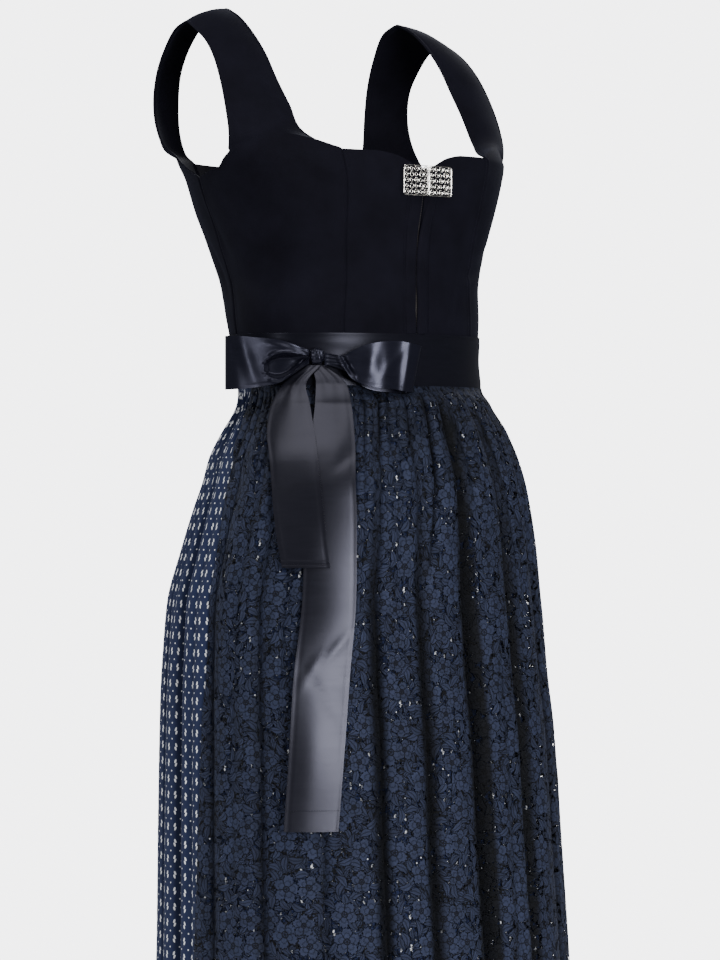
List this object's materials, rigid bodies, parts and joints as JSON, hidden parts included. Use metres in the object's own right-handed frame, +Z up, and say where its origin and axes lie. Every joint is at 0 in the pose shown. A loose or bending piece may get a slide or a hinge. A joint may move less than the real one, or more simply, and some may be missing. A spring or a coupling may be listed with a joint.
{
  "type": "dirndl",
  "caption": "Worn sleeveless folk dress: velvet bodice with wide straps and a silver clasp, gathered printed skirt, lace apron with a satin sash tied in a bow.",
  "frame": {"origin": "midway between the undersides of the two shoulder straps, where the wearer's shoulders carry the dress", "axes": "+Z up, -Y to the front of the dress, -X to the wearer's right"},
  "size_m": [0.441, 0.379, 1.0781],
  "materials": {
    "velvet": "matte midnight-blue velvet with a soft bluish nap",
    "printed_cotton": "navy cotton with rows of small white sprigs and dots",
    "lace": "dark navy floral lace with open ground",
    "satin": "blue-black satin with soft broad highlights",
    "silver": "antiqued openwork silver, dark in its hollows",
    "zip_steel": "small dull steel teeth on a dark tape"
  },
  "bodies": {
    "root": {"bodice_front_left": "velvet", "bodice_front_right": "velvet", "bodice_side_front_left": "velvet", "bodice_side_front_right": "velvet", "bodice_side_back_left": "velvet", "bodice_side_back_right": "velvet", "bodice_back": "velvet", "fly_left": "velvet", "fly_right": "velvet", "zip": "zip_steel", "clasp_left": "silver", "clasp_right": "silver", "sash": "satin", "bow_knot": "satin", "bow_loop_left": "satin", "bow_loop_right": "satin", "tail_short": "satin", "tail_long": "satin", "skirt_front_left": "printed_cotton", "skirt_front_right": "printed_cotton", "skirt_left": "printed_cotton", "skirt_right": "printed_cotton", "apron": "lace"}
  },
  "joints": []
}
